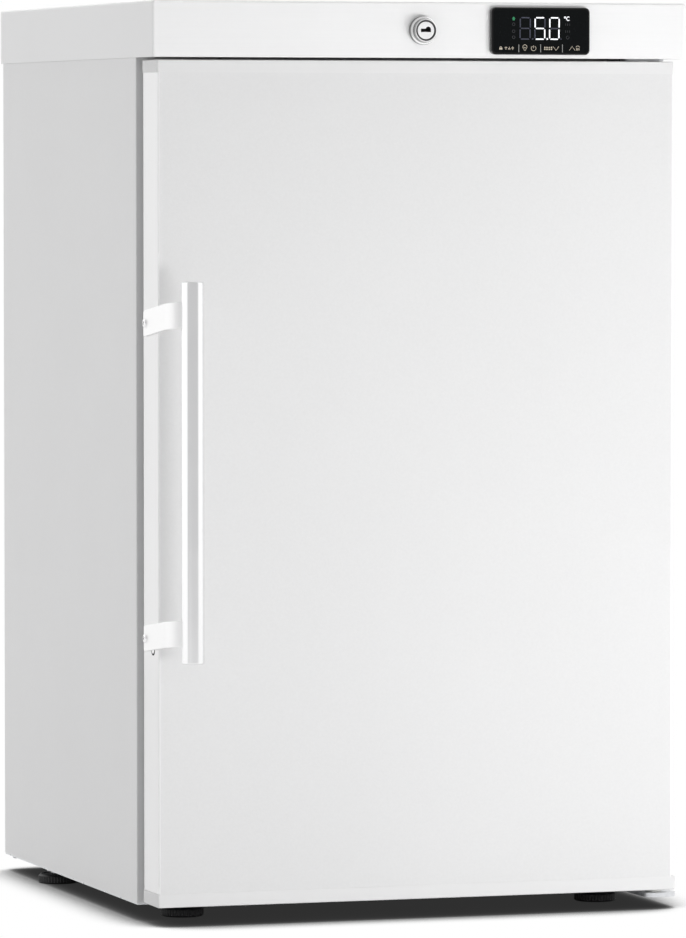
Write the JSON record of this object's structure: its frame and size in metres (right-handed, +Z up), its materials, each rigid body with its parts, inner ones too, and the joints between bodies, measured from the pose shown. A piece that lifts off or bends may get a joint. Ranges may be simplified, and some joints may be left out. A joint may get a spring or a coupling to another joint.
{
  "type": "medical refrigerator",
  "caption": "Upright solid-door medical refrigerator with a bar handle, keyed lock, digital controller, wire shelves and rear condenser.",
  "frame": {"origin": "on the floor, under the middle of the overall box", "axes": "+X its right side seen from the front, +Y its back, +Z up"},
  "size_m": [0.45, 0.535, 0.736],
  "materials": {
    "cover_coat": "satin",
    "panel_coat": "satin",
    "door_coat": "satin",
    "cap_plastic": "satin",
    "liner_plastic": "satin",
    "foam": "matte",
    "seal": "matte",
    "handle_coat": "gloss",
    "lock_chrome": "polished",
    "zinc": "satin",
    "screw_steel": "satin",
    "black_plastic": "gloss",
    "window": "gloss",
    "bush_plastic": "satin",
    "foot_plastic": "matte",
    "pot_paint": "satin",
    "grommet_rubber": "matte",
    "copper": "satin",
    "condenser_paint": "satin",
    "aluminium": "satin",
    "wire_coat": "gloss",
    "grey_plastic": "matte",
    "lens": "satin",
    "probe_steel": "polished"
  },
  "bodies": {
    "cabinet": {"top_cover": "cover_coat", "side_panel_left": "panel_coat", "side_panel_right": "panel_coat", "top_panel": "panel_coat", "base_panel": "zinc", "compressor_bay_panel": "zinc", "back_panel": "panel_coat", "inner_liner": "liner_plastic", "cabinet_foam": "foam", "compressor_tray": "zinc", "compressor_shell": "pot_paint", "compressor_grommets": "grommet_rubber", "compressor_bolts": "zinc", "starter_box": "grey_plastic", "refrigerant_lines": "copper", "filter_drier": "copper", "condenser_tube": "condenser_paint", "condenser_wires": "condenser_paint", "condenser_brackets": "grey_plastic", "evaporating_pan": "grey_plastic", "drain_tube": "grey_plastic", "evaporator_coil": "aluminium", "evaporator_fins": "aluminium", "evaporator_cover": "liner_plastic", "drip_tray": "liner_plastic", "fan_guard": "liner_plastic", "fan_motor": "grey_plastic", "lamp_housing": "liner_plastic", "lamp_lens": "lens", "temperature_probe": "probe_steel", "controller_housing": "black_plastic", "controller_window": "window", "controller_clips": "screw_steel", "lock_housing": "lock_chrome", "lock_nut": "zinc", "hinge_upper_bracket": "zinc", "hinge_lower_bracket": "zinc", "cabinet_screws": "screw_steel", "cord_gland": "black_plastic"},
    "door": {"door_skin": "door_coat", "door_top_cap": "cap_plastic", "door_bottom_cap": "cap_plastic", "door_liner": "liner_plastic", "door_foam": "foam", "door_gasket": "seal", "handle_bar": "handle_coat", "handle_straps": "handle_coat", "handle_screws": "screw_steel", "hinge_bushes": "bush_plastic", "lock_strike": "zinc"},
    "lock": {"lock_plug": "lock_chrome", "lock_cam": "zinc"},
    "fan": {"fan_rotor": "black_plastic"},
    "shelf_1": {"shelf_1": "wire_coat"},
    "shelf_2": {"shelf_2": "wire_coat"},
    "shelf_3": {"shelf_3": "wire_coat"},
    "foot_front_left": {"foot_front_left": "foot_plastic"},
    "foot_front_right": {"foot_front_right": "foot_plastic"},
    "foot_rear_left": {"foot_rear_left": "foot_plastic"},
    "foot_rear_right": {"foot_rear_right": "foot_plastic"}
  },
  "joints": [
    {"name": "door_hinge", "type": "hinge", "parent": "cabinet", "child": "door", "pos_m": [0.2055, -0.2, 0.016], "axis": [0, 0, 1], "range_deg": [0, 115]},
    {"name": "lock_turn", "type": "hinge", "parent": "cabinet", "child": "lock", "pos_m": [0, -0.2185, 0.713], "axis": [0, -1, 0], "range_deg": [0, 90]},
    {"name": "fan_spin", "type": "hinge", "parent": "cabinet", "child": "fan", "pos_m": [0, 0.153, 0.575], "axis": [0, 1, 0], "continuous": true},
    {"name": "shelf_1_slide", "type": "slide", "parent": "cabinet", "child": "shelf_1", "axis": [0, -1, 0], "range_m": [0, 0.012]},
    {"name": "shelf_2_slide", "type": "slide", "parent": "cabinet", "child": "shelf_2", "axis": [0, -1, 0], "range_m": [0, 0.012]},
    {"name": "shelf_3_slide", "type": "slide", "parent": "cabinet", "child": "shelf_3", "axis": [0, -1, 0], "range_m": [0, 0.012]},
    {"name": "foot_front_left_turn", "type": "hinge", "parent": "cabinet", "child": "foot_front_left", "pos_m": [-0.1774, -0.1385, 0], "axis": [0, 0, 1], "continuous": true},
    {"name": "foot_front_right_turn", "type": "hinge", "parent": "cabinet", "child": "foot_front_right", "pos_m": [0.1774, -0.1385, 0], "axis": [0, 0, 1], "continuous": true},
    {"name": "foot_rear_left_turn", "type": "hinge", "parent": "cabinet", "child": "foot_rear_left", "pos_m": [-0.207, 0.1265, 0], "axis": [0, 0, 1], "continuous": true},
    {"name": "foot_rear_right_turn", "type": "hinge", "parent": "cabinet", "child": "foot_rear_right", "pos_m": [0.207, 0.1265, 0], "axis": [0, 0, 1], "continuous": true}
  ]
}
